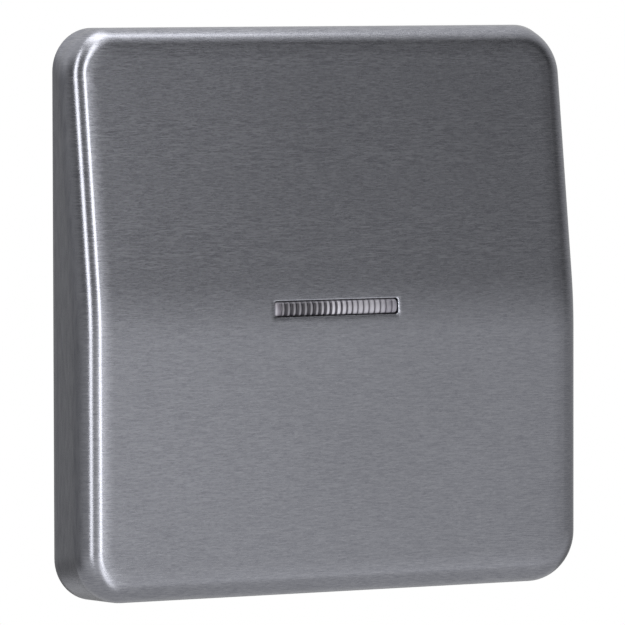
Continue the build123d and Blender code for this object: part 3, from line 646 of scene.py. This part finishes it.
# Insert housing and lamp holder
# The moulded base with the terminal chambers and wire entries, and the small holder that carries the lamp.
# Off-white PBT with a fine matt moulded texture, a little glossier than the cover.
white_moulding, output, place = new_material("off_white_moulded_pbt")
mould_texture = add_node(
    white_moulding, "ShaderNodeTexNoise",
    inputs={"Vector": place, "Scale": 1 / (0.3 * MM), "Detail": 2.0, "Roughness": 0.5},
).outputs["Fac"]
white_cloud = add_node(
    white_moulding, "ShaderNodeTexNoise",
    inputs={"Vector": place, "Scale": 1 / (9 * MM), "Detail": 1.0, "Roughness": 0.5},
).outputs["Fac"]
white_shader = add_node(white_moulding, "ShaderNodeBsdfPrincipled", inputs={
    "Base Color": add_node(white_moulding, "ShaderNodeMix", {"data_type": "RGBA"}, {
        0: white_cloud, 6: linear("#c9c8c1"), 7: linear("#d2d1ca"),
    }).outputs[2],
    "Roughness": 0.4,
    "IOR": 1.54,
    "Normal": add_node(white_moulding, "ShaderNodeBump", inputs={
        "Height": mould_texture, "Strength": 0.2, "Distance": 0.015 * MM,
    }).outputs["Normal"],
})
white_moulding.node_tree.links.new(white_shader.outputs[0], output.inputs["Surface"])
dress(white_moulding, "insert_housing", "lamp_holder")

# Contact bridge
# The strip on the plunger that joins the two fixed contacts. It is punched from rolled tin bronze.
# Tin bronze: reddish gold, satin, with lines along the strip from rolling.
bronze, output, place = new_material("rolled_tin_bronze")
strip_lines = add_node(bronze, "ShaderNodeTexNoise", inputs={
    "Vector": add_node(
        bronze, "ShaderNodeMapping", inputs={"Vector": place, "Scale": (0.1, 1.0, 1.0)}
    ).outputs["Vector"],
    "Scale": 1 / (0.2 * MM), "Detail": 2.0, "Roughness": 0.5,
}).outputs["Fac"]
bronze_shader = add_node(bronze, "ShaderNodeBsdfPrincipled", inputs={
    "Base Color": add_node(bronze, "ShaderNodeMix", {"data_type": "RGBA"}, {
        0: strip_lines, 6: linear("#b98a63"), 7: linear("#c89a70"),
    }).outputs[2],
    "Metallic": 1.0,
    "Roughness": add_node(bronze, "ShaderNodeMapRange", inputs={
        "Value": strip_lines, "From Min": 0.3, "From Max": 0.7, "To Min": 0.25, "To Max": 0.35,
    }).outputs["Result"],
})
bronze.node_tree.links.new(bronze_shader.outputs[0], output.inputs["Surface"])
dress(bronze, "contact_bridge")

# Contact tips
# Two small rivets on the bridge and two on the fixed arms, headed from silver wire.
# Silver alloy: the whitest metal here, satin, with slightly duller clouds from tarnish.
silver, output, place = new_material("silver_contact_alloy")
tarnish = add_node(
    silver, "ShaderNodeTexNoise",
    inputs={"Vector": place, "Scale": 1 / (1.1 * MM), "Detail": 2.0, "Roughness": 0.5},
).outputs["Fac"]
silver_shader = add_node(silver, "ShaderNodeBsdfPrincipled", inputs={
    "Base Color": add_node(silver, "ShaderNodeMix", {"data_type": "RGBA"}, {
        0: tarnish, 6: linear("#c6c3bb"), 7: linear("#dddbd5"),
    }).outputs[2],
    "Metallic": 1.0,
    "Roughness": 0.3,
})
silver.node_tree.links.new(silver_shader.outputs[0], output.inputs["Surface"])
dress(silver, "bridge_contact_tips", "fixed_contact_tips")

# Springs
# Three coil springs of round wire with closed ends, under the rocker, on the contact bridge and under the
# plunger, and four bent leaf springs that clamp the wires.
WIRE_POINTS = 10
TURN_POINTS = 30
LEAF_POINTS = 12
closed_turns = 0.75
leaf_sheet = 0.5 * MM
leaf_half_width = 3.0 * MM
leaf_bend = 1.6 * MM
leaf_anchor = (17.7 * MM, 19.0 * MM)
rear_bend_middle = (16.1 * MM, 9.8 * MM)
knee_middle = (13.789 * MM, 9.8 * MM)
knee_turn = math.radians(58.1)
leaf_tip = (9.6 * MM, 13.5 * MM)
COILS = {
    "return_spring": {"wire": 0.5 * MM, "turns": 4.5, "moves_with": "button"},
    "contact_spring": {"wire": 0.35 * MM, "turns": 4, "moves_with": None},
    "plunger_spring": {"wire": 0.4 * MM, "turns": 6, "moves_with": "contact_plunger"},
}
LEAF_HEIGHTS = {"lower": -7.4 * MM, "upper": 7.4 * MM}


def coil_rings(low, high, wire, turns):
    """Circles of a round wire along a helix in the box from low to high, front to back. The closed turns
    at both ends rise by one wire a turn, and the turns between them rise evenly."""
    turn = np.linspace(0, turns, round(turns * TURN_POINTS) + 1)
    first, last = low.y + wire / 2, high.y - wire / 2
    y = np.interp(
        turn, [0, closed_turns, turns - closed_turns, turns],
        [first, first + closed_turns * wire, last - closed_turns * wire, last],
    )
    angle = 2 * math.pi * turn
    outward = np.stack([np.cos(angle), 0 * angle, np.sin(angle)], axis=-1)
    axis = np.stack([0 * y + (low.x + high.x) / 2, y, 0 * y + (low.z + high.z) / 2], axis=-1)
    centre = axis + (high.x - low.x - wire) / 2 * outward
    along = np.gradient(centre, axis=0)
    along /= np.linalg.norm(along, axis=1)[:, None]
    across = np.cross(along, outward)
    around = np.linspace(0, 2 * math.pi, WIRE_POINTS, endpoint=False)[None, :, None]
    circle = np.cos(around) * outward[:, None] + np.sin(around) * across[:, None]
    return centre[:, None] + wire / 2 * circle


def leaf_rings(side, height):
    """Cross-sections of a flat strip: from its anchored end straight on, round a quarter circle, straight
    on, round the knee's arc and straight to its tip. The left one, side -1, mirrors the right one."""
    quarter = -np.linspace(0, math.pi / 2, LEAF_POINTS)
    knee = -math.pi / 2 - np.linspace(0, knee_turn, LEAF_POINTS)
    angle = np.concatenate([[0.0], quarter, knee, np.full(LEAF_POINTS, knee[-1])])
    normal = np.stack([np.cos(angle), np.sin(angle)], axis=-1)
    rear_bend = rear_bend_middle + leaf_bend * normal[1:LEAF_POINTS + 1]
    knee_bend = knee_middle + leaf_bend * normal[LEAF_POINTS + 1:2 * LEAF_POINTS + 1]
    share = np.linspace(0, 1, LEAF_POINTS + 1)[1:, None]
    leg = knee_bend[-1] + (np.array(leaf_tip) - knee_bend[-1]) * share
    path = np.concatenate([[leaf_anchor], rear_bend, knee_bend, leg])
    corners = np.array([[1, -1], [1, 1], [-1, 1], [-1, -1]])
    flat = path[:, None] + leaf_sheet / 2 * corners[None, :, :1] * normal[:, None]
    z = np.broadcast_to(height + leaf_half_width * corners[None, :, 1:], (len(path), 4, 1))
    rings = np.concatenate([flat, z], axis=-1)
    rings[:, :, 0] *= side
    return rings[:, ::side]


# Drawn stainless spring steel: grey and fairly shiny, with scratches along the wire too fine to see.
spring_wire, output, place = new_material("drawn_spring_steel")
wire_tone = add_node(
    spring_wire, "ShaderNodeTexNoise",
    inputs={"Vector": place, "Scale": 1 / (0.8 * MM), "Detail": 2.0, "Roughness": 0.5},
).outputs["Fac"]
spring_shader = add_node(spring_wire, "ShaderNodeBsdfPrincipled", inputs={
    "Base Color": add_node(spring_wire, "ShaderNodeMix", {"data_type": "RGBA"}, {
        0: wire_tone, 6: linear("#96979a"), 7: linear("#a6a7a9"),
    }).outputs[2],
    "Metallic": 1.0,
    "Roughness": add_node(spring_wire, "ShaderNodeMapRange", inputs={
        "Value": wire_tone, "From Min": 0.3, "From Max": 0.7, "To Min": 0.22, "To Max": 0.32,
    }).outputs["Result"],
})
spring_wire.node_tree.links.new(spring_shader.outputs[0], output.inputs["Surface"])
for node, coil in COILS.items():
    low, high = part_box(node)
    piece = capped_grid(f"{node}_coil", coil_rings(low, high, coil["wire"], coil["turns"]), smooth=True)
    piece.data.materials.append(spring_wire)
    height = (low.z + high.z) / 2
    if coil["moves_with"]:
        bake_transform(piece)
    else:
        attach(piece, "contact_plunger")
    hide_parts(node)
for name, side in (("left", -1), ("right", 1)):
    for place_name, height in LEAF_HEIGHTS.items():
        piece = capped_grid(f"clamp_leaf_{name}_{place_name}", leaf_rings(side, height), smooth=False)
        piece.data.materials.append(spring_wire)
        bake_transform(piece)
        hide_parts(f"clamp_springs_{name}")

# Terminal rails and lamp leads
# The two current rails that the wires are pressed on, punched and bent, and the lamp's two contact legs.
# Rolled brass: yellow metal with a satin roll finish and faint darker clouds.
brass, output, place = new_material("rolled_brass")
brass_cloud = add_node(
    brass, "ShaderNodeTexNoise",
    inputs={"Vector": place, "Scale": 1 / (3 * MM), "Detail": 3.0, "Roughness": 0.55},
).outputs["Fac"]
brass_shader = add_node(brass, "ShaderNodeBsdfPrincipled", inputs={
    "Base Color": add_node(brass, "ShaderNodeMix", {"data_type": "RGBA"}, {
        0: brass_cloud, 6: linear("#bd9c58"), 7: linear("#cfb06c"),
    }).outputs[2],
    "Metallic": 1.0,
    "Roughness": add_node(brass, "ShaderNodeMapRange", inputs={
        "Value": brass_cloud, "From Min": 0.3, "From Max": 0.7, "To Min": 0.26, "To Max": 0.36,
    }).outputs["Result"],
})
brass.node_tree.links.new(brass_shader.outputs[0], output.inputs["Surface"])
dress(brass, "terminal_rail_left", "terminal_rail_right", "lamp_leads")

# Release levers
# Two pushers in the back of the housing. A screwdriver presses them in to free the wires.
# Orange polycarbonate, moulded in a smooth tool, so that it has a satin gloss.
orange_moulding, output, place = new_material("orange_moulded_polycarbonate")
pigment = add_node(
    orange_moulding, "ShaderNodeTexNoise",
    inputs={"Vector": place, "Scale": 1 / (4 * MM), "Detail": 2.0, "Roughness": 0.5},
).outputs["Fac"]
orange_shader = add_node(orange_moulding, "ShaderNodeBsdfPrincipled", inputs={
    "Base Color": add_node(orange_moulding, "ShaderNodeMix", {"data_type": "RGBA"}, {
        0: pigment, 6: linear("#cc6a1f"), 7: linear("#d57428"),
    }).outputs[2],
    "Roughness": 0.3,
    "IOR": 1.58,
})
orange_moulding.node_tree.links.new(orange_shader.outputs[0], output.inputs["Surface"])
dress(orange_moulding, "release_lever_left", "release_lever_right")

# Indicator lamp
# A small domed glow lamp that stands in the holder behind the lens, unlit.
# Clear soda glass: colourless, smooth, with reflections at its rim.
lamp_glass, output, place = new_material("clear_lamp_glass")
seeds = add_node(
    lamp_glass, "ShaderNodeTexNoise",
    inputs={"Vector": place, "Scale": 1 / (1.5 * MM), "Detail": 1.0, "Roughness": 0.5},
).outputs["Fac"]
glass_shader = add_node(lamp_glass, "ShaderNodeBsdfPrincipled", inputs={
    "Base Color": linear("#eef0ee"),
    "Roughness": add_node(lamp_glass, "ShaderNodeMapRange", inputs={
        "Value": seeds, "From Min": 0.3, "From Max": 0.7, "To Min": 0.02, "To Max": 0.06,
    }).outputs["Result"],
    "IOR": 1.52,
    "Transmission Weight": 0.9,
})
lamp_glass.node_tree.links.new(glass_shader.outputs[0], output.inputs["Surface"])
dress(lamp_glass, "indicator_lamp")

# Floor and backdrop
# A plain pale floor well below the switch. Seen straight or through glass it is white, and in metal it
# shows as it is lit, with the switch's soft shadow.
floor_gap = 600 * MM
floor_half = 1.0
floor_z = cad_box[0].z - floor_gap
floor_mesh = bpy.data.meshes.new("floor")
floor_mesh.from_pydata(
    [(-floor_half, -floor_half, floor_z), (floor_half, -floor_half, floor_z),
     (floor_half, floor_half, floor_z), (-floor_half, floor_half, floor_z)],
    [], [(0, 1, 2, 3)],
)
floor = bpy.data.objects.new("floor", floor_mesh)
bpy.context.scene.collection.objects.link(floor)
floor_paint, output = new_material("pale_floor")[:2]
matt = add_node(floor_paint, "ShaderNodeBsdfDiffuse", inputs={"Color": linear("#f0f0f0")})
glow = add_node(floor_paint, "ShaderNodeEmission", inputs={"Color": (1, 1, 1, 1), "Strength": 1.0})
ray = add_node(floor_paint, "ShaderNodeLightPath").outputs
seen = add_node(floor_paint, "ShaderNodeMath", {"operation": "MAXIMUM"}, {
    0: ray["Is Camera Ray"], 1: ray["Is Transmission Ray"],
}).outputs[0]
floor_mix = add_node(
    floor_paint, "ShaderNodeMixShader", inputs={0: seen, 1: matt.outputs[0], 2: glow.outputs[0]}
)
floor_paint.node_tree.links.new(floor_mix.outputs[0], output.inputs["Surface"])
floor_mesh.materials.append(floor_paint)

# World
# Matt surfaces get an even white light. Metal shows a room: white low down and overhead, dark just above
# eye level, with a soft glow in front and a back wall that is lighter upwards. The camera sees white.
glow_way = (0.14, -0.985, -0.08)
glow_spread = 16.0
glow_brightness = 0.72
world = bpy.data.worlds.new("studio")
bpy.context.scene.world = world
world.use_nodes = True
world.node_tree.nodes.clear()
world_output = add_node(world, "ShaderNodeOutputWorld")
direction = add_node(world, "ShaderNodeTexCoord").outputs["Generated"]
_, way_y, way_z = add_node(world, "ShaderNodeSeparateXYZ", inputs={"Vector": direction}).outputs
room = add_node(world, "ShaderNodeValToRGB", inputs={"Fac": add_node(
    world, "ShaderNodeMapRange", inputs={"Value": way_z, "From Min": -1.0, "From Max": 1.0},
).outputs["Result"]})
ROOM = {-90: 0.9, -30: 1.1, -14: 0.98, -7: 0.76, 0: 0.32, 10: 0.1, 20: 0.03, 32: 0.04, 50: 0.8, 90: 1.0}
for elevation, brightness in ROOM.items():
    share = (1 + math.sin(math.radians(elevation))) / 2
    edge_stop = {-90: 0, 90: 1}.get(elevation)
    stops = room.color_ramp.elements
    stop = stops.new(share) if edge_stop is None else stops[-edge_stop]
    stop.position = share
    stop.color = (brightness, brightness, brightness, 1)
behind = add_node(world, "ShaderNodeMapRange", inputs={
    "Value": way_y, "From Min": -0.5, "From Max": 0.2,
}).outputs["Result"]
back_wall = add_node(world, "ShaderNodeMapRange", inputs={
    "Value": way_z, "From Min": -0.25, "From Max": 0.8, "To Min": 0.34, "To Max": 1.2,
}).outputs["Result"]
dimmed = add_node(world, "ShaderNodeMix", {"data_type": "FLOAT"}, {
    0: behind, 2: room.outputs["Color"], 3: back_wall,
}).outputs[0]
towards = add_node(
    world, "ShaderNodeVectorMath", {"operation": "DOT_PRODUCT"}, {0: direction, 1: glow_way}
).outputs["Value"]
fade = add_node(world, "ShaderNodeMath", {"operation": "MULTIPLY_ADD"}, {
    0: towards, 1: glow_spread, 2: -glow_spread,
}).outputs[0]
halo = add_node(world, "ShaderNodeMath", {"operation": "EXPONENT"}, {0: fade}).outputs[0]
studio = add_node(world, "ShaderNodeMath", {"operation": "MULTIPLY_ADD"}, {
    0: halo, 1: glow_brightness, 2: dimmed,
}).outputs[0]
ray = add_node(world, "ShaderNodeLightPath").outputs
lighting = add_node(world, "ShaderNodeMix", {"data_type": "FLOAT"}, {
    0: ray["Is Diffuse Ray"], 2: studio, 3: 0.9,
}).outputs[0]
straight = add_node(world, "ShaderNodeMath", {"operation": "MAXIMUM"}, {
    0: ray["Is Camera Ray"], 1: ray["Is Transmission Ray"],
}).outputs[0]
shown = add_node(world, "ShaderNodeMix", {"data_type": "FLOAT"}, {
    0: straight, 2: lighting, 3: 1.0,
}).outputs[0]
background = add_node(world, "ShaderNodeBackground", inputs={"Color": shown, "Strength": 1.0})
world.node_tree.links.new(background.outputs[0], world_output.inputs["Surface"])

# Lights
# Two tall softboxes in front, a faint one over them, a weaker one under them and one over the switch, so
# that the round edges show narrow bright lines. They show in glossy surfaces and don't light matt ones.
SOFTBOXES = {
    "front_softbox": {"middle": (0.2, -1.18, 0.64), "size": (0.22, 1.72), "brightness": 6.5},
    "left_softbox": {"middle": (-0.74, -0.98, 0.7), "size": (0.28, 1.8), "brightness": 5.6},
    "upper_softbox": {"middle": (0.11, -0.52, 0.85), "size": (0.4, 0.45), "brightness": 0.9},
    "top_softbox": {"middle": (0.04, -0.05, 0.36), "size": (0.2, 0.2), "brightness": 4.0},
    "lower_softbox": {"middle": (0.03, -0.78, -0.46), "size": (0.2, 0.55), "brightness": 2.6},
}
for name, box in SOFTBOXES.items():
    middle = Vector(box["middle"])
    width, tall = box["size"]
    level = Vector((middle.x, middle.y, 0.0)) if tall > 1 else middle
    lamp = bpy.data.lights.new(name, "AREA")
    lamp.shape = "RECTANGLE"
    lamp.size = width
    lamp.size_y = tall
    lamp.energy = box["brightness"] * math.pi * width * tall
    softbox = bpy.data.objects.new(name, lamp)
    softbox.location = middle
    softbox.rotation_euler = level.to_track_quat("Z", "Y").to_euler()
    softbox.visible_camera = False
    softbox.visible_diffuse = False
    bpy.context.scene.collection.objects.link(softbox)

# Camera
# The photograph's angle, 28 degrees to the left of the button and 3 degrees above its middle.
camera_azimuth = math.radians(-28.29)
camera_elevation = math.radians(3.08)
camera_roll = -0.002
camera_distance = 799.1 * MM
aim = Vector((0, -8.5 * MM, 0))
back = Vector((
    math.sin(camera_azimuth) * math.cos(camera_elevation),
    -math.cos(camera_azimuth) * math.cos(camera_elevation),
    math.sin(camera_elevation),
))
camera_data = bpy.data.cameras.new("camera")
camera_data.sensor_width = 36
camera_data.lens = 372.1
camera_data.shift_x = -0.0206
camera_data.shift_y = -0.0044
camera = bpy.data.objects.new("camera", camera_data)
camera.location = aim + back * camera_distance
turn = (-back).to_track_quat("-Z", "Y") @ Quaternion((0, 0, 1), camera_roll)
camera.rotation_euler = turn.to_euler()
bpy.context.scene.collection.objects.link(camera)
bpy.context.scene.camera = camera
bpy.context.scene.view_settings.view_transform = "Standard"
